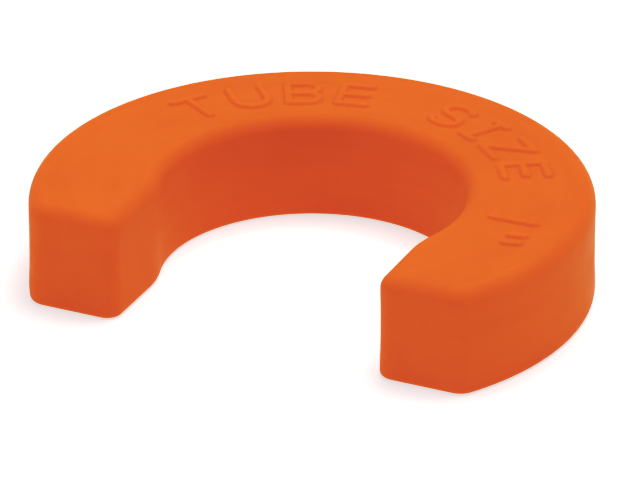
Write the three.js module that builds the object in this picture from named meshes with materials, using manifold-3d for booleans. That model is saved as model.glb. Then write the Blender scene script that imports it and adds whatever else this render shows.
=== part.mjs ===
// Disconnect clip for push-fit pipe fittings, nominal size 1 inch.
//
// The clip is one injection moulding: an open ring that snaps over the pipe through a straight-sided
// mouth. Laid against a push-fit fitting and pressed, its flat underside pushes the fitting's release
// collar in and frees the pipe. The upper face carries raised marks that say which tube it is for.
//
// Millimetres, +Z up. The origin is the middle of the clip's outline, on its underside. The mouth opens
// towards -Y.

import * as THREE from 'three';
import { mergeVertices } from 'three/addons/utils/BufferGeometryUtils.js';
import Module from 'manifold-3d';

const wasm = await Module();
wasm.setup();

// ---- Driving dimensions ------------------------------------------------------------------------

const PIPE_DIAMETER = 28.6; // outside of 1 inch copper-size tube
const PIPE_CLEARANCE = 0.25; // all round, once the clip is on the pipe
const SNAP_INTERFERENCE = 2.0; // how much narrower than the pipe the mouth is
const OUTER_DIAMETER = 53.5; // at the upper face, where the drafted outer wall is narrowest
const OUTER_DRAFT = 0.8; // degrees that the outer wall leans out on its way down
const THICKNESS = 10.4;
const ARM_REACH = 15.3; // from the bore's axis to the arms' end faces

const TOP_EDGE_RADIUS = 1.5; // rounding round the upper face
const BOTTOM_EDGE_RADIUS = 0.5; // rounding round the underside
const HEEL_RADIUS = 2.1; // upright corner between outer wall and end face
const TOE_RADIUS = 1.6; // upright corner between end face and mouth
const SNAP_RADIUS = 10; // long soft turn between mouth and bore
const SHARPEST_CORNER = 0.4; // an upright corner's radius where the edge rounding eats it away

const MARK_HEIGHT = 5.0; // cap height of the raised marks
const MARK_STROKE = 0.8; // width of a mark's bars
const MARK_GAP = 1.4; // between neighbouring letters
const MARK_RELIEF = 0.22; // how far the marks stand up
const MARK_ROOT = 0.4; // how deep their bars reach into the clip
const MARK_OFFSET = -0.35; // marks' mid line from the middle of the ring's width

const WORDS = [
  { text: 'TUBE', angle: 125.5 },
  { text: 'SIZE', angle: 53 },
];
const SIZE_MARK_ANGLE = 2;

const PLASTIC = { color: 0xe86c29, roughness: 0.5, metalness: 0 };

// ---- Sizes that follow -------------------------------------------------------------------------

const outerRadius = OUTER_DIAMETER / 2;
const boreRadius = PIPE_DIAMETER / 2 + PIPE_CLEARANCE;
const mouthHalf = (PIPE_DIAMETER - SNAP_INTERFERENCE) / 2;
const leanPerRise = Math.tan(THREE.MathUtils.degToRad(OUTER_DRAFT));
const widestRadius = outerRadius + (THICKNESS - BOTTOM_EDGE_RADIUS) * leanPerRise;
const outlineMiddle = (widestRadius - ARM_REACH) / 2;
const markRadius = (outerRadius + boreRadius) / 2 + MARK_OFFSET;

// ---- Fineness of the curves, in steps ----------------------------------------------------------

const OUTER_STEPS = 84;
const BORE_STEPS = 56;
const CORNER_STEPS = 5;
const SNAP_STEPS = 4;
const TOP_EDGE_STEPS = 5;
const BOTTOM_EDGE_STEPS = 2;
const BAR_END_STEPS = 3;
const BOWL_STEPS = 7;

// ---- The ring ----------------------------------------------------------------------------------

const TAU = 2 * Math.PI;

function arc(x, y, radius, from, to, clockwise, steps) {
  return new THREE.ArcCurve(x, y, radius, from, to, clockwise).getPoints(steps);
}

// Points that fall on the one before them, where two arcs meet, are left out.
function withoutRepeats(points) {
  const apart = (point, i) => point.distanceTo(points[(i + points.length - 1) % points.length]) > 1e-6;
  return points.filter(apart);
}

// The clip's outline at the height `z`, counter-clockwise about the bore's axis, with every wall moved
// `inset` into the plastic.
function outline({ z, inset }) {
  const outer = outerRadius + (THICKNESS - z) * leanPerRise - inset;
  const bore = boreRadius + inset;
  const side = mouthHalf + inset;
  const end = ARM_REACH - inset;

  const heel = Math.max(HEEL_RADIUS - inset, SHARPEST_CORNER);
  const heelY = heel - end;
  const heelX = Math.sqrt((outer - heel) ** 2 - heelY ** 2);
  const heelAngle = Math.atan2(heelY, heelX);

  const toe = Math.max(TOE_RADIUS - inset, SHARPEST_CORNER);
  const toeX = side + toe;
  const toeY = toe - end;

  const snap = Math.max(SNAP_RADIUS - inset, SHARPEST_CORNER);
  const snapX = side + snap;
  const snapY = -Math.sqrt((bore + snap) ** 2 - snapX ** 2);
  const snapAngle = Math.atan2(snapY, snapX);

  const down = -Math.PI / 2;
  const left = Math.PI;
  return withoutRepeats([
    ...arc(heelX, heelY, heel, down, heelAngle, false, CORNER_STEPS),
    ...arc(0, 0, outer, heelAngle, left - heelAngle, false, OUTER_STEPS),
    ...arc(-heelX, heelY, heel, left - heelAngle, down + TAU, false, CORNER_STEPS),
    ...arc(-toeX, toeY, toe, down, 0, false, CORNER_STEPS),
    ...arc(-snapX, snapY, snap, 0, -snapAngle, false, SNAP_STEPS),
    ...arc(0, 0, bore, left - snapAngle, snapAngle, true, BORE_STEPS),
    ...arc(snapX, snapY, snap, left + snapAngle, left, false, SNAP_STEPS),
    ...arc(toeX, toeY, toe, left, down + TAU, false, CORNER_STEPS),
  ]);
}

// The levels that the outline is lofted through: up round the bottom edge, up the walls, and in round
// the top edge.
function levels() {
  const rising = [];
  for (let i = 0; i <= BOTTOM_EDGE_STEPS; i += 1) {
    const turn = (i / BOTTOM_EDGE_STEPS) * (Math.PI / 2);
    rising.push({
      z: BOTTOM_EDGE_RADIUS * (1 - Math.cos(turn)),
      inset: BOTTOM_EDGE_RADIUS * (1 - Math.sin(turn)),
    });
  }
  for (let i = 0; i <= TOP_EDGE_STEPS; i += 1) {
    const turn = (i / TOP_EDGE_STEPS) * (Math.PI / 2);
    rising.push({
      z: THICKNESS - TOP_EDGE_RADIUS * (1 - Math.sin(turn)),
      inset: TOP_EDGE_RADIUS * (1 - Math.cos(turn)),
    });
  }
  return rising;
}

function ringGeometry() {
  const floors = levels();
  const rings = floors.map(outline);
  const count = rings[0].length;
  const last = floors.length - 1;

  const positions = [];
  rings.forEach((ring, k) => {
    ring.forEach((point) => positions.push(point.x, point.y, floors[k].z));
  });

  const index = [];
  for (let k = 0; k < last; k += 1) {
    for (let i = 0; i < count; i += 1) {
      const j = (i + 1) % count;
      const [a, b] = [k * count + i, k * count + j];
      const [c, d] = [b + count, a + count];
      index.push(a, b, c, a, c, d);
    }
  }
  for (const [a, b, c] of THREE.ShapeUtils.triangulateShape(rings[last], [])) {
    index.push(last * count + a, last * count + b, last * count + c);
  }
  for (const [a, b, c] of THREE.ShapeUtils.triangulateShape(rings[0], [])) {
    index.push(c, b, a);
  }

  const geometry = new THREE.BufferGeometry();
  geometry.setAttribute('position', new THREE.Float32BufferAttribute(positions, 3));
  geometry.setIndex(index);
  return geometry;
}

// ---- The raised marks --------------------------------------------------------------------------

// A character is drawn with lines through the middles of its bars. Its own x runs along the word and
// its y towards the rim, both from the character's middle.

const capLine = (MARK_HEIGHT - MARK_STROKE) / 2;

function line(...corners) {
  return corners.map(([x, y]) => new THREE.Vector2(x, y));
}

function bowl(x, y, xRadius, yRadius, fromDegrees, toDegrees, clockwise) {
  const from = THREE.MathUtils.degToRad(fromDegrees);
  const to = THREE.MathUtils.degToRad(toDegrees);
  return new THREE.EllipseCurve(x, y, xRadius, yRadius, from, to, clockwise).getPoints(BOWL_STEPS);
}

function letterT() {
  const half = 1.65;
  return { half, strokes: [line([-half, capLine], [half, capLine]), line([0, capLine], [0, -capLine])] };
}

function letterU() {
  const half = 1.6;
  const turn = half - capLine;
  const cup = bowl(0, turn, half, half, 180, 360, false);
  return { half, strokes: [[...line([-half, capLine]), ...cup, ...line([half, capLine])]] };
}

function letterB() {
  const half = 1.5;
  const lobe = capLine / 2;
  const lobeX = half - lobe;
  const upper = bowl(lobeX, lobe, lobe, lobe, 90, -90, true);
  const lower = bowl(lobeX, -lobe, lobe, lobe, 90, -90, true);
  const spine = line([-half, -capLine], [-half, capLine]);
  return { half, strokes: [[...spine, ...upper, ...line([-half, 0]), ...lower, ...line([-half, -capLine])]] };
}

function letterE() {
  const half = 1.4;
  const spine = line([half, capLine], [-half, capLine], [-half, -capLine], [half, -capLine]);
  return { half, strokes: [spine, line([-half, 0], [half * 0.8, 0])] };
}

function letterS() {
  const half = 1.5;
  const lobe = capLine / 2;
  const upper = bowl(0, lobe, half, lobe, 25, 270, false);
  const lower = bowl(0, -lobe, half, lobe, 90, -155, true);
  return { half, strokes: [[...upper, ...lower]] };
}

function letterI() {
  const half = 0.8;
  const serif = (y) => line([-half, y], [half, y]);
  return { half, strokes: [serif(capLine), line([0, capLine], [0, -capLine]), serif(-capLine)] };
}

function letterZ() {
  const half = 1.5;
  return { half, strokes: [line([-half, capLine], [half, capLine], [-half, -capLine], [half, -capLine])] };
}

// The figure one with its two inch ticks.
function sizeMark() {
  const figure = line([-0.7, capLine - 0.6], [0, capLine], [0, -capLine]);
  const tick = (x) => line([x, capLine], [x + 0.25, capLine - 1.3]);
  return { half: 0, strokes: [figure, tick(2.75), tick(4.35)] };
}

const LETTERS = { T: letterT, U: letterU, B: letterB, E: letterE, S: letterS, I: letterI, Z: letterZ };

// One bar with round ends, standing in the clip's upper face.
function bar(from, to) {
  const along = Math.atan2(to.y - from.y, to.x - from.x);
  const quarter = Math.PI / 2;
  const shape = new THREE.Shape();
  shape.absarc(to.x, to.y, MARK_STROKE / 2, along - quarter, along + quarter);
  shape.absarc(from.x, from.y, MARK_STROKE / 2, along + quarter, along + 3 * quarter);
  const depth = MARK_ROOT + MARK_RELIEF;
  const geometry = new THREE.ExtrudeGeometry(shape, { depth, bevelEnabled: false, curveSegments: BAR_END_STEPS });
  return geometry.translate(0, 0, THICKNESS - MARK_ROOT);
}

// A character's bars, turned upright towards the rim at an angle round the bore's axis.
function placedBars({ strokes }, angle) {
  const place = new THREE.Matrix4().makeRotationZ(angle - Math.PI / 2);
  place.multiply(new THREE.Matrix4().makeTranslation(0, markRadius, 0));
  return strokes.flatMap((points) => {
    const spans = points.slice(1).map((point, i) => [points[i], point]);
    const long = spans.filter(([from, to]) => from.distanceTo(to) > 1e-6);
    return long.map(([from, to]) => bar(from, to).applyMatrix4(place));
  });
}

// A word's letters, spaced evenly along the marks' mid line, with the word's middle at its angle.
function wordBars({ text, angle }) {
  const letters = [...text].map((name) => LETTERS[name]());
  const widths = letters.map(({ half }) => 2 * half + MARK_STROKE);
  const length = widths.reduce((sum, width) => sum + width, MARK_GAP * (letters.length - 1));
  let reached = -length / 2;
  return letters.flatMap((letter, i) => {
    const middle = reached + widths[i] / 2;
    reached += widths[i] + MARK_GAP;
    return placedBars(letter, THREE.MathUtils.degToRad(angle) - middle / markRadius);
  });
}

// ---- Solids ------------------------------------------------------------------------------------

function toSolid(geometry) {
  geometry.deleteAttribute('normal');
  geometry.deleteAttribute('uv');
  const merged = mergeVertices(geometry);
  return new wasm.Manifold(new wasm.Mesh({
    numProp: 3,
    vertProperties: merged.attributes.position.array,
    triVerts: new Uint32Array(merged.index.array),
  }));
}

function toGeometry(solid) {
  const { vertProperties, triVerts } = solid.getMesh();
  const geometry = new THREE.BufferGeometry();
  geometry.setAttribute('position', new THREE.BufferAttribute(new Float32Array(vertProperties), 3));
  geometry.setIndex(new THREE.BufferAttribute(new Uint32Array(triVerts), 1));
  geometry.computeVertexNormals();
  return geometry;
}

function clipGeometry() {
  const sizeBars = placedBars(sizeMark(), THREE.MathUtils.degToRad(SIZE_MARK_ANGLE));
  const bars = [...WORDS.flatMap(wordBars), ...sizeBars];
  const marks = bars.map(toSolid).reduce((joined, next) => joined.add(next));
  return toGeometry(toSolid(ringGeometry()).add(marks));
}

// ---- The clip ----------------------------------------------------------------------------------

const clip = new THREE.Mesh(clipGeometry(), new THREE.MeshStandardMaterial(PLASTIC));
clip.name = 'disconnect_clip';

const model = new THREE.Group();
model.position.y = -outlineMiddle;
model.add(clip);

export default model;
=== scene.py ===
import math

import bpy
import numpy as np
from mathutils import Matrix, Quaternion, Vector
from mathutils.geometry import delaunay_2d_cdt


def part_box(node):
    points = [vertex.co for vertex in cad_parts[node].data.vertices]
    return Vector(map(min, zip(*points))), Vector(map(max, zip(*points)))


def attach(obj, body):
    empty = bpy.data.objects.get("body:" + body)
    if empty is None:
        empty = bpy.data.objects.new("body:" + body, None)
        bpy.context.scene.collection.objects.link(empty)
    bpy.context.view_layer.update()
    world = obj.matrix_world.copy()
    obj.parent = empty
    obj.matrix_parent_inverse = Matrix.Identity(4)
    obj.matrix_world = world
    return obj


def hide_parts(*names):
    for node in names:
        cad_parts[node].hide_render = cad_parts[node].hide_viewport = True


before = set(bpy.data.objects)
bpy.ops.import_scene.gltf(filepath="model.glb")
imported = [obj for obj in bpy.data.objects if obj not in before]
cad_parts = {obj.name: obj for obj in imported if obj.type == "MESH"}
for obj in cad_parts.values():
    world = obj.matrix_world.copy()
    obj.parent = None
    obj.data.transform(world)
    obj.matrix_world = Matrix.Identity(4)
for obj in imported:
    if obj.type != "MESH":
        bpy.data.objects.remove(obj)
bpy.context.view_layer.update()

# ---- Camera ------------------------------------------------------------------------------------
# A long lens looks down on the clip from in front of the mouth and a little to the right, so that
# both arms' end faces, the marked upper face and the far wall of the bore all show.

MM = 0.001
CAMERA_AZIMUTH = math.radians(24.69)
CAMERA_ELEVATION = math.radians(26.48)
CAMERA_ROLL = math.radians(0.06)
CAMERA_DISTANCE = 510.5 * MM
CAMERA_TARGET = Vector((-2.65, 0.63, 0.0)) * MM
SENSOR_WIDTH = 36.0
LENS_LENGTH = 302.9
NEAREST_SEEN = 0.01
FURTHEST_SEEN = 20.0

camera_data = bpy.data.cameras.new("studio_camera")
camera_data.sensor_width = SENSOR_WIDTH
camera_data.lens = LENS_LENGTH
camera_data.clip_start = NEAREST_SEEN
camera_data.clip_end = FURTHEST_SEEN
camera = bpy.data.objects.new("studio_camera", camera_data)
bpy.context.scene.collection.objects.link(camera)
level = math.cos(CAMERA_ELEVATION)
back = Vector((
    math.sin(CAMERA_AZIMUTH) * level,
    -math.cos(CAMERA_AZIMUTH) * level,
    math.sin(CAMERA_ELEVATION),
))
camera.location = CAMERA_TARGET + back * CAMERA_DISTANCE
camera.rotation_mode = "QUATERNION"
camera.rotation_quaternion = (-back).to_track_quat("-Z", "Y") @ Quaternion((0, 0, 1), CAMERA_ROLL)
bpy.context.scene.camera = camera

# ---- The clip's outline in plan ----------------------------------------------------------------
# The clip is one open ring, cut square at its arms' ends. Its straight mouth is a little narrower than
# the tube, so that the arms have to spring apart, and its outer wall leans out towards the underside.
# Lengths here and below are in millimetres from the bore's axis, on the underside.

OUTER_RADIUS = 26.75
OUTER_LEAN = math.tan(math.radians(0.8))
BORE_RADIUS = 14.55
MOUTH_HALF = 13.3
ARM_REACH = 15.3
TOP_EDGE = 1.5
BOTTOM_EDGE = 0.5
HEEL_RADIUS = 2.1
TOE_RADIUS = 1.6
SNAP_RADIUS = 10.0
SOFTEST_MITRE = 0.5
MARK_RELIEF = 0.22

clip_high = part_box("disconnect_clip")[1]
THICKNESS = clip_high.z / MM - MARK_RELIEF
AXIS_Y = clip_high.y / MM - OUTER_RADIUS - (THICKNESS - BOTTOM_EDGE) * OUTER_LEAN


def sweep(centre, radius, start, stop, steps):
    """Points round an arc, from the angle start up to but not including stop."""
    turn = start + (stop - start) * np.arange(steps) / steps
    return np.column_stack((centre[0] + radius * np.cos(turn), centre[1] + radius * np.sin(turn)))


def reach(start, stop, steps):
    """Points along a straight wall, from start up to but not including stop."""
    share = np.arange(steps)[:, None] / steps
    return np.array(start) * (1 - share) + np.array(stop) * share


def outline(height, inset):
    """The outline at a height, counter-clockwise, with every wall moved inset into the plastic."""
    outer = OUTER_RADIUS + (THICKNESS - height) * OUTER_LEAN - inset
    bore, side, end = BORE_RADIUS + inset, MOUTH_HALF + inset, ARM_REACH - inset

    heel = max(HEEL_RADIUS - inset, SOFTEST_MITRE)
    heel_y = heel - end
    heel_x = math.sqrt((outer - heel) ** 2 - heel_y ** 2)
    heel_angle = math.atan2(heel_y, heel_x)

    toe = max(TOE_RADIUS - inset, SOFTEST_MITRE)
    toe_x, toe_y = side + toe, toe - end

    snap = max(SNAP_RADIUS - inset, SOFTEST_MITRE)
    snap_x = side + snap
    snap_y = -math.sqrt((bore + snap) ** 2 - snap_x ** 2)
    snap_angle = math.atan2(snap_y, snap_x)

    down, across, full = -math.pi / 2, math.pi, 2 * math.pi
    return np.vstack((
        sweep((heel_x, heel_y), heel, down, heel_angle, 12),
        sweep((0, 0), outer, heel_angle, across - heel_angle, 260),
        sweep((-heel_x, heel_y), heel, across - heel_angle, full + down, 12),
        reach((-heel_x, -end), (-toe_x, -end), 10),
        sweep((-toe_x, toe_y), toe, down, 0, 12),
        reach((-side, toe_y), (-side, snap_y), 12),
        sweep((-snap_x, snap_y), snap, 0, -snap_angle, 12),
        sweep((0, 0), bore, across - snap_angle, snap_angle, 190),
        sweep((snap_x, snap_y), snap, across + snap_angle, across, 12),
        reach((side, snap_y), (side, toe_y), 12),
        sweep((toe_x, toe_y), toe, across, across - down, 12),
        reach((toe_x, -end), (heel_x, -end), 10),
    ))


# ---- The raised marks --------------------------------------------------------------------------
# The marks are cut into the mould, so they stand up from the upper face with soft sloping sides. They
# say which tube the clip is for: TUBE SIZE, then a figure one with inch ticks. A character is drawn
# with lines through the middles of its bars, x along the word and y towards the rim.

MARK_HEIGHT = 5.0
MARK_STROKE = 0.8
MARK_GAP = 1.4
MARK_SLOPE = 0.48
MARK_OFFSET = -0.35
WORDS = (("TUBE", 125.5), ("SIZE", 53.0))
SIZE_MARK_ANGLE = 2.0
MARK_MESH = 0.13
ROW_SLACK = 0.002

cap = (MARK_HEIGHT - MARK_STROKE) / 2
mark_radius = (OUTER_RADIUS + BORE_RADIUS) / 2 + MARK_OFFSET


def bowl(x, y, x_radius, y_radius, start, stop):
    """Points round the curved part of a letter, with its angles in degrees."""
    turn = np.radians(np.linspace(start, stop, 25))
    return np.column_stack((x + x_radius * np.cos(turn), y + y_radius * np.sin(turn)))


def letter_t():
    half = 1.65
    return half, [[(-half, cap), (half, cap)], [(0, cap), (0, -cap)]]


def letter_u():
    half = 1.6
    cup = bowl(0, half - cap, half, half, 180, 360)
    return half, [[(-half, cap), *cup, (half, cap)]]


def letter_b():
    half = 1.5
    lobe = cap / 2
    upper = bowl(half - lobe, lobe, lobe, lobe, 90, -90)
    lower = bowl(half - lobe, -lobe, lobe, lobe, 90, -90)
    return half, [[(-half, -cap), (-half, cap), *upper, (-half, 0)], [(-half, 0), *lower, (-half, -cap)]]


def letter_e():
    half = 1.4
    return half, [[(half, cap), (-half, cap), (-half, -cap), (half, -cap)], [(-half, 0), (half * 0.8, 0)]]


def letter_s():
    half = 1.5
    lobe = cap / 2
    upper = bowl(0, lobe, half, lobe, 25, 270)
    lower = bowl(0, -lobe, half, lobe, 90, -155)
    return half, [[*upper, *lower[1:]]]


def letter_i():
    half = 0.8
    return half, [[(-half, cap), (half, cap)], [(0, cap), (0, -cap)], [(-half, -cap), (half, -cap)]]


def letter_z():
    half = 1.5
    return half, [[(-half, cap), (half, cap), (-half, -cap), (half, -cap)]]


def size_mark():
    """The figure one with its two inch ticks."""
    figure = [(-0.7, cap - 0.6), (0, cap), (0, -cap)]
    ticks = [[(x, cap), (x + 0.25, cap - 1.3)] for x in (2.75, 4.35)]
    return 0, [figure, *ticks]


LETTERS = {
    "T": letter_t, "U": letter_u, "B": letter_b, "E": letter_e,
    "S": letter_s, "I": letter_i, "Z": letter_z,
}


def placed(strokes, angle):
    """A character's lines, turned upright towards the rim at an angle about the bore's axis."""
    turn = angle - math.pi / 2
    spin = np.array([[math.cos(turn), math.sin(turn)], [-math.sin(turn), math.cos(turn)]])
    return [(np.array(line, float) + (0, mark_radius)) @ spin for line in strokes]


def word(text, angle):
    """A word's lines, its letters spaced evenly along the marks' mid line about the word's angle."""
    letters = [LETTERS[name]() for name in text]
    widths = [2 * half + MARK_STROKE for half, strokes in letters]
    reached = -(sum(widths) + MARK_GAP * (len(letters) - 1)) / 2
    lines = []
    for (half, strokes), width in zip(letters, widths):
        middle = reached + width / 2
        reached += width + MARK_GAP
        lines += placed(strokes, math.radians(angle) - middle / mark_radius)
    return lines


mark_lines = [line for text, angle in WORDS for line in word(text, angle)]
mark_lines += placed(size_mark()[1], math.radians(SIZE_MARK_ANGLE))
bar_starts = np.vstack([line[:-1] for line in mark_lines])
bar_ends = np.vstack([line[1:] for line in mark_lines])


def distance_to_marks(points):
    """How far each point is from the middle line of the nearest bar."""
    along = bar_ends - bar_starts
    length = np.maximum((along ** 2).sum(1), 1e-12)
    nearest = np.full(len(points), 1e9)
    for start, step, square in zip(bar_starts, along, length):
        share = np.clip((points - start) @ step / square, 0, 1)
        nearest = np.minimum(nearest, np.hypot(*(points - start - share[:, None] * step).T))
    return nearest


def mark_rows():
    """Rows of points that follow the marks' sloping sides, so that the mesh's edges run along them."""
    inner, outer = (MARK_STROKE - MARK_SLOPE) / 2, (MARK_STROKE + MARK_SLOPE) / 2
    levels = [*np.linspace(inner, outer, 9), inner / 2, outer + 0.12, outer + 0.32]
    turns = [max(8, round(2 * math.pi * level / MARK_MESH)) for level in levels]
    rows = []
    for line in mark_lines:
        for start, stop in zip(line[:-1], line[1:]):
            count = max(1, round(float(np.hypot(*(stop - start))) / MARK_MESH))
            middle = reach(start, stop, count)
            rows.append(middle)
            normal = np.array((start[1] - stop[1], stop[0] - start[0])) / np.hypot(*(stop - start))
            for level, steps in zip(levels, turns):
                ring = sweep(start, level, 0, 2 * math.pi, steps)
                close = np.vstack((middle + normal * level, middle - normal * level, ring))
                rows.append(close[np.abs(distance_to_marks(close) - level) < ROW_SLACK])
        for level, steps in zip(levels, turns):
            ring = sweep(line[-1], level, 0, 2 * math.pi, steps)
            rows.append(ring[np.abs(distance_to_marks(ring) - level) < ROW_SLACK])
    return np.vstack(rows)


# ---- The moulding ------------------------------------------------------------------------------
# Orange plastic, injected in one shot. The upper face comes from the mould's hollow half. The flat half
# closes it at the underside, where the edge is tighter and the ejector pins and the gate have left
# their marks. The thick ring shrank as it cooled, so its broad faces are hollow by a few hundredths.

WALL_SINK = 0.05
TOP_SINK = 0.06
UNDER_SINK = 0.02
ARM_FADE = 6
PIN_RADIUS = 1.5
PIN_DEPTH = 0.07
PIN_LIP = 0.05
PIN_PLACES = [(20.6, 150), (20.6, 30), (21.2, -22), (21.2, 202)]
GATE_PLACE = (23.2, 90)
GATE_RADIUS = 1.1
GATE_DEPTH = 0.3
GATE_SLOPE = 0.5
NUB_RADIUS = 0.45
NUB_HEIGHT = 0.18
NUB_SLOPE = 0.15
UPPER_MESH = 0.9
LOWER_MESH = 1.2
CLOSEST_POINTS = 0.035
CORNER_RUB = 1.5
FOOT_RUB = 0.9
MARK_RUB = 0.6


def ease(share):
    """A soft step from 0 to 1."""
    share = np.clip(share, 0, 1)
    return share * share * share * (share * (6 * share - 15) + 10)


def ring_place(radius, degrees):
    return np.array((radius * math.cos(math.radians(degrees)), radius * math.sin(math.radians(degrees))))


def hollow(points):
    """From 0 at the ring's edges to 1 along its middle."""
    radius = np.hypot(points[:, 0], points[:, 1])
    inner, outer = BORE_RADIUS + TOP_EDGE, OUTER_RADIUS - TOP_EDGE
    across = np.clip((radius - inner) / (outer - inner), 0, 1)
    along = np.clip((points[:, 1] + ARM_REACH - TOP_EDGE) / ARM_FADE, 0, 1)
    return ease(np.sin(np.pi * across)) * ease(along)


def upper_height(points):
    """The upper face's height: hollow between its edges, with the marks standing up from it."""
    away = distance_to_marks(points)
    raised = ease(((MARK_STROKE + MARK_SLOPE) / 2 - away) / MARK_SLOPE)
    return THICKNESS - TOP_SINK * hollow(points) * (1 - raised) + MARK_RELIEF * raised


def lower_height(points):
    """The underside's height: hollow, with the pins' marks and the gate's nub in its dimple."""
    height = UNDER_SINK * hollow(points)
    for place in PIN_PLACES:
        away = np.hypot(*(points - ring_place(*place)).T)
        height += PIN_DEPTH * ease((PIN_RADIUS + PIN_LIP - away) / (2 * PIN_LIP))
    away = np.hypot(*(points - ring_place(*GATE_PLACE)).T)
    height += GATE_DEPTH * ease((GATE_RADIUS - away) / GATE_SLOPE)
    return height - NUB_HEIGHT * ease((NUB_RADIUS - away) / NUB_SLOPE)


def lower_rows():
    """Rings of points round the pins' marks and the gate."""
    rows = []
    for place in PIN_PLACES:
        centre = ring_place(*place)
        lip = np.linspace(PIN_RADIUS - PIN_LIP, PIN_RADIUS + PIN_LIP, 5)
        for radius in (PIN_RADIUS - 0.4, *lip, PIN_RADIUS + 0.4):
            rows.append(sweep(centre, radius, 0, 2 * math.pi, 48))
    centre = ring_place(*GATE_PLACE)
    nub, dimple = np.linspace(0.1, NUB_RADIUS, 7), np.linspace(NUB_RADIUS + 0.1, GATE_RADIUS, 6)
    for radius in (*nub, *dimple, GATE_RADIUS + 0.3):
        rows.append(sweep(centre, radius, 0, 2 * math.pi, 40))
    return np.vstack(rows)


def fill_points(spacing, keep_clear):
    """A grid of points over the ring, clear of its edges and of the finer rows."""
    reach_out = OUTER_RADIUS - TOP_EDGE
    steps = np.arange(-reach_out, reach_out, spacing)
    grid = np.array([(x + (row % 2) * spacing / 2, y) for row, y in enumerate(steps) for x in steps])
    radius = np.hypot(grid[:, 0], grid[:, 1])
    margin = TOP_EDGE + spacing * 0.6
    inside = (radius < OUTER_RADIUS - margin) & (radius > BORE_RADIUS + margin)
    inside &= grid[:, 1] > margin - ARM_REACH
    inside &= (np.abs(grid[:, 0]) > MOUTH_HALF + margin) | (grid[:, 1] > 0)
    grid = grid[inside]
    return grid[keep_clear(grid)]


def thinned(points, cell):
    """The points with near repeats left out."""
    keys = np.round(points / cell).astype(np.int64)
    first = np.unique(keys, axis=0, return_index=True)[1]
    return points[np.sort(first)]


def face_mesh(border, loose):
    """Triangles over a flat face, using its border ring and the loose points inside it."""
    count = len(border)
    flat = [Vector(point) for point in np.vstack((border, loose))]
    result = delaunay_2d_cdt(flat, [], [list(range(count))], 1, 1e-5)
    return np.array([tuple(point) for point in result[0]]), result[2], result[3]


def away_from_pins(points):
    clear = np.ones(len(points), bool)
    for place in [*PIN_PLACES, GATE_PLACE]:
        clear &= np.hypot(*(points - ring_place(*place)).T) > PIN_RADIUS + 0.7
    return clear


def away_from_marks(points):
    return distance_to_marks(points) > (MARK_STROKE + MARK_SLOPE) / 2 + 0.6


def wall_levels():
    """Height and inset of each ring of the walls, from the underside up to the upper face."""
    levels = []
    for turn in np.linspace(0, math.pi / 2, 6):
        levels.append((BOTTOM_EDGE * (1 - math.cos(turn)), BOTTOM_EDGE * (1 - math.sin(turn))))
    low, high = BOTTOM_EDGE, THICKNESS - TOP_EDGE
    for share in np.linspace(0, 1, 13)[1:-1]:
        levels.append((low + (high - low) * share, WALL_SINK * float(ease(math.sin(math.pi * share)))))
    for turn in np.linspace(0, math.pi / 2, 17):
        levels.append((high + TOP_EDGE * math.sin(turn), TOP_EDGE * (1 - math.cos(turn))))
    return levels


def corner_rub(ring):
    """How far handling has rubbed each point of a ring: 1 at the upright corners, 0 on the open walls."""
    heel_x = math.sqrt(OUTER_RADIUS ** 2 - ARM_REACH ** 2)
    rub = np.zeros(len(ring))
    for corner in ((heel_x, -ARM_REACH), (MOUTH_HALF, -ARM_REACH)):
        away = np.hypot(np.abs(ring[:, 0]) - corner[0], ring[:, 1] - corner[1])
        rub = np.maximum(rub, 1 - ease(away / CORNER_RUB))
    return rub


def clip_mesh():
    vertices, faces, rub = [], [], []
    levels = wall_levels()
    rings = [outline(height, inset) for height, inset in levels]
    count = len(rings[0])
    for ring, (height, inset) in zip(rings, levels):
        vertices += [(x, y, height) for x, y in ring]
        foot = 1 - float(ease(height / FOOT_RUB))
        rub += np.maximum(corner_rub(ring), foot).tolist()
    for level in range(len(levels) - 1):
        for i in range(count):
            j = (i + 1) % count
            low, high = level * count, (level + 1) * count
            faces.append((low + i, low + j, high + j, high + i))

    def cover(border_level, loose, height_of, flipped):
        """Closes the walls at one of their rings with a face of triangles."""
        points, triangles, sources = face_mesh(rings[border_level], loose)
        heights = height_of(points)
        index = []
        for point, height, source in zip(points, heights, sources):
            on_border = [s for s in source if s < count]
            if on_border:
                index.append(border_level * count + on_border[0])
            else:
                index.append(len(vertices))
                vertices.append((point[0], point[1], height))
                rub.append(MARK_RUB * float(ease((height - THICKNESS) / MARK_RELIEF)))
        for triangle in triangles:
            corners = [index[k] for k in triangle]
            faces.append(corners[::-1] if flipped else corners)

    upper = np.vstack((thinned(mark_rows(), CLOSEST_POINTS), fill_points(UPPER_MESH, away_from_marks)))
    cover(len(levels) - 1, upper, upper_height, False)
    lower = np.vstack((lower_rows(), fill_points(LOWER_MESH, away_from_pins)))
    cover(0, lower, lower_height, True)

    mesh = bpy.data.meshes.new("clip_moulding")
    placed_vertices = (np.array(vertices) + (0, AXIS_Y, 0)) * MM
    mesh.from_pydata(placed_vertices.tolist(), [], faces)
    mesh.validate()
    mesh.shade_smooth()
    mesh.attributes.new("rubbed", "FLOAT", "POINT").data.foreach_set("value", rub)
    return mesh


clip = bpy.data.objects.new("clip_moulding", clip_mesh())
bpy.context.scene.collection.objects.link(clip)


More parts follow.
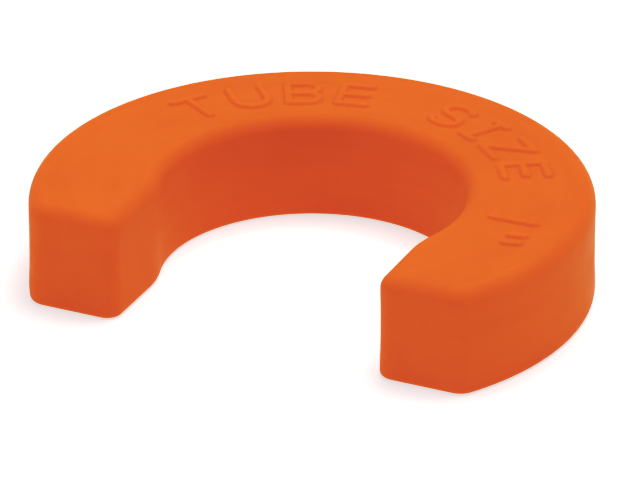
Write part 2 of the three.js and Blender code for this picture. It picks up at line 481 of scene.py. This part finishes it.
FLOW_STRETCH = 3.0
PIGMENT_DEEP = (0.665, 0.116, 0.016, 1)
PIGMENT_FULL = (0.71, 0.128, 0.018, 1)
PIGMENT_RUBBED = (0.74, 0.142, 0.02, 1)
RUBBED_TINT = 0.2
SATIN_ROUGHNESS = 0.5
RUBBED_ROUGHNESS = 0.36
STREAK_SIZE = 1.6
CLOUD_SIZE = 9.0
PATCH_SIZE = 1.1
GRAIN_SIZE = 0.16
UNEVEN_SIZE = 4.0
ORANGE_PEEL_SIZE = 1.8
GRAIN_HEIGHT = 0.005
ORANGE_PEEL_HEIGHT = 0.012


def orange_plastic():
    """Pigment stirred right through the plastic, a satin skin off the mould, and edges rubbed by handling."""
    material = bpy.data.materials.new("orange_moulded_plastic")
    material.use_nodes = True
    nodes, links = material.node_tree.nodes, material.node_tree.links
    plastic = nodes["Principled BSDF"]
    plastic.inputs["IOR"].default_value = 1.49
    plastic.inputs["Specular Tint"].default_value = (1.0, 0.7, 0.45, 1)
    plastic.inputs["Specular IOR Level"].default_value = 0.04
    plastic.inputs["Subsurface Weight"].default_value = 0.35
    plastic.inputs["Subsurface Radius"].default_value = (1.0, 0.3, 0.12)
    plastic.inputs["Subsurface Scale"].default_value = 2.5 * MM
    place = nodes.new("ShaderNodeTexCoord").outputs["Object"]

    def math_node(operation, *terms):
        node = nodes.new("ShaderNodeMath")
        node.operation = operation
        for socket, term in zip(node.inputs, terms):
            if isinstance(term, (int, float)):
                socket.default_value = term
            else:
                links.new(term, socket)
        return node.outputs["Value"]

    def cloud(size, detail, where=place):
        """Noise whose blotches are about size millimetres across, from 0 to 1."""
        node = nodes.new("ShaderNodeTexNoise")
        node.inputs["Scale"].default_value = 1 / (size * MM)
        node.inputs["Detail"].default_value = detail
        links.new(where, node.inputs["Vector"])
        return node.outputs["Fac"]

    def spread(value, low, high):
        """The middle of a noise, from low to high, stretched to run from 0 to 1."""
        node = nodes.new("ShaderNodeMapRange")
        node.inputs["From Min"].default_value = low
        node.inputs["From Max"].default_value = high
        links.new(value, node.inputs["Value"])
        return node.outputs["Result"]

    parts = nodes.new("ShaderNodeSeparateXYZ")
    links.new(place, parts.inputs["Vector"])
    out_y = math_node("SUBTRACT", parts.outputs["Y"], AXIS_Y * MM)
    square = math_node("ADD", math_node("POWER", parts.outputs["X"], 2.0), math_node("POWER", out_y, 2.0))
    radius = math_node("POWER", square, 0.5)
    bearing = math_node("ARCTAN2", parts.outputs["X"], out_y)
    flow = nodes.new("ShaderNodeCombineXYZ")
    links.new(radius, flow.inputs["X"])
    links.new(math_node("MULTIPLY", bearing, FLOW_STRETCH * MM), flow.inputs["Y"])
    links.new(parts.outputs["Z"], flow.inputs["Z"])

    streaks = math_node("MULTIPLY", cloud(STREAK_SIZE, 3.0, flow.outputs["Vector"]), 0.45)
    clouds = math_node("MULTIPLY", cloud(CLOUD_SIZE, 2.0), 0.55)
    pigment = math_node("ADD", streaks, clouds)
    body_colour = nodes.new("ShaderNodeMix")
    body_colour.data_type = "RGBA"
    body_colour.inputs["A"].default_value = PIGMENT_DEEP
    body_colour.inputs["B"].default_value = PIGMENT_FULL
    links.new(spread(pigment, 0.35, 0.65), body_colour.inputs["Factor"])

    rub = nodes.new("ShaderNodeAttribute")
    rub.attribute_name = "rubbed"
    patchy = spread(cloud(PATCH_SIZE, 4.0), 0.38, 0.66)
    rubbed = math_node("MULTIPLY", rub.outputs["Fac"], patchy)
    skin_colour = nodes.new("ShaderNodeMix")
    skin_colour.data_type = "RGBA"
    skin_colour.inputs["B"].default_value = PIGMENT_RUBBED
    links.new(body_colour.outputs["Result"], skin_colour.inputs["A"])
    links.new(math_node("MULTIPLY", rubbed, RUBBED_TINT), skin_colour.inputs["Factor"])
    links.new(skin_colour.outputs["Result"], plastic.inputs["Base Color"])

    grain = cloud(GRAIN_SIZE, 2.0)
    uneven = math_node("MULTIPLY", math_node("SUBTRACT", cloud(UNEVEN_SIZE, 3.0), 0.5), 0.22)
    fine = math_node("MULTIPLY", math_node("SUBTRACT", grain, 0.5), 0.12)
    satin = math_node("ADD", math_node("ADD", uneven, fine), SATIN_ROUGHNESS)
    worn = math_node("MULTIPLY", rubbed, SATIN_ROUGHNESS - RUBBED_ROUGHNESS)
    links.new(math_node("SUBTRACT", satin, worn), plastic.inputs["Roughness"])

    grain_relief = math_node("MULTIPLY", grain, GRAIN_HEIGHT)
    orange_peel = math_node("MULTIPLY", cloud(ORANGE_PEEL_SIZE, 2.0), ORANGE_PEEL_HEIGHT)
    relief = math_node("ADD", grain_relief, orange_peel)
    bump = nodes.new("ShaderNodeBump")
    bump.inputs["Distance"].default_value = MM
    bump.inputs["Strength"].default_value = 1.0
    links.new(relief, bump.inputs["Height"])
    links.new(bump.outputs["Normal"], plastic.inputs["Normal"])
    return material


clip.data.materials.append(orange_plastic())
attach(clip, "root")
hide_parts("disconnect_clip")

# ---- Floor and light ---------------------------------------------------------------------------
# A plain pale floor that glows a little, like a light table, so that its shadows stay pale. A wide soft
# lamp overhead, two weak ones at the sides and a white surround, with a gentle tone curve.

FLOOR_HALF = 3.0
FLOOR_PAINT = (0.66, 0.66, 0.66, 1)
FLOOR_GLOW = 0.45
OVERHEAD_POWER = 15.6
LEFT_POWER = 2.2
FRONT_POWER = 0.4
SURROUND_STRENGTH = 0.22
OVERALL_TONES = ((0.05, 0.05), (0.16, 0.16), (0.45, 0.6), (0.82, 0.82))
BLUE_TONES = ((0.03, 0.0235), (0.065, 0.036), (0.15, 0.12), (0.3, 0.3))

floor_mesh = bpy.data.meshes.new("floor")
corners = ((-1, -1), (1, -1), (1, 1), (-1, 1))
floor_mesh.from_pydata([(x * FLOOR_HALF, y * FLOOR_HALF, 0) for x, y in corners], [], [(0, 1, 2, 3)])
floor = bpy.data.objects.new("floor", floor_mesh)
bpy.context.scene.collection.objects.link(floor)
floor_paint = bpy.data.materials.new("pale_floor")
floor_paint.use_nodes = True
pale = floor_paint.node_tree.nodes["Principled BSDF"]
pale.inputs["Base Color"].default_value = FLOOR_PAINT
pale.inputs["Roughness"].default_value = 0.9
pale.inputs["Specular IOR Level"].default_value = 0.1
pale.inputs["Emission Color"].default_value = (1, 1, 1, 1)
pale.inputs["Emission Strength"].default_value = FLOOR_GLOW
floor_mesh.materials.append(floor_paint)


def soft_lamp(name, place, size, power, colour):
    lamp = bpy.data.lights.new(name, "AREA")
    lamp.shape = "SQUARE"
    lamp.size = size
    lamp.energy = power
    lamp.color = colour
    holder = bpy.data.objects.new(name, lamp)
    holder.location = place
    holder.rotation_mode = "QUATERNION"
    holder.rotation_quaternion = (-Vector(place)).to_track_quat("-Z", "Y")
    holder.visible_camera = False
    bpy.context.scene.collection.objects.link(holder)
    return holder


soft_lamp("overhead_softbox", (0.1, 0.25, 1.2), 0.9, OVERHEAD_POWER, (1, 1, 1))
soft_lamp("left_fill", (-1.0, -0.5, 0.5), 0.7, LEFT_POWER, (1, 1, 1))
soft_lamp("front_fill", (0.45, -1.1, 0.45), 0.7, FRONT_POWER, (1, 1, 1))

world = bpy.data.worlds.new("studio")
world.use_nodes = True
world.node_tree.nodes["Background"].inputs["Color"].default_value = (1, 1, 1, 1)
world.node_tree.nodes["Background"].inputs["Strength"].default_value = SURROUND_STRENGTH
bpy.context.scene.world = world

view = bpy.context.scene.view_settings
view.view_transform = "Standard"
view.use_curve_mapping = True
overall_curve = view.curve_mapping.curves[3]
for light, shown in OVERALL_TONES:
    overall_curve.points.new(light, shown)
blue_curve = view.curve_mapping.curves[2]
blue_curve.points[0].location = (0, 0.018)
for light, shown in BLUE_TONES:
    blue_curve.points.new(light, shown)
view.curve_mapping.update()
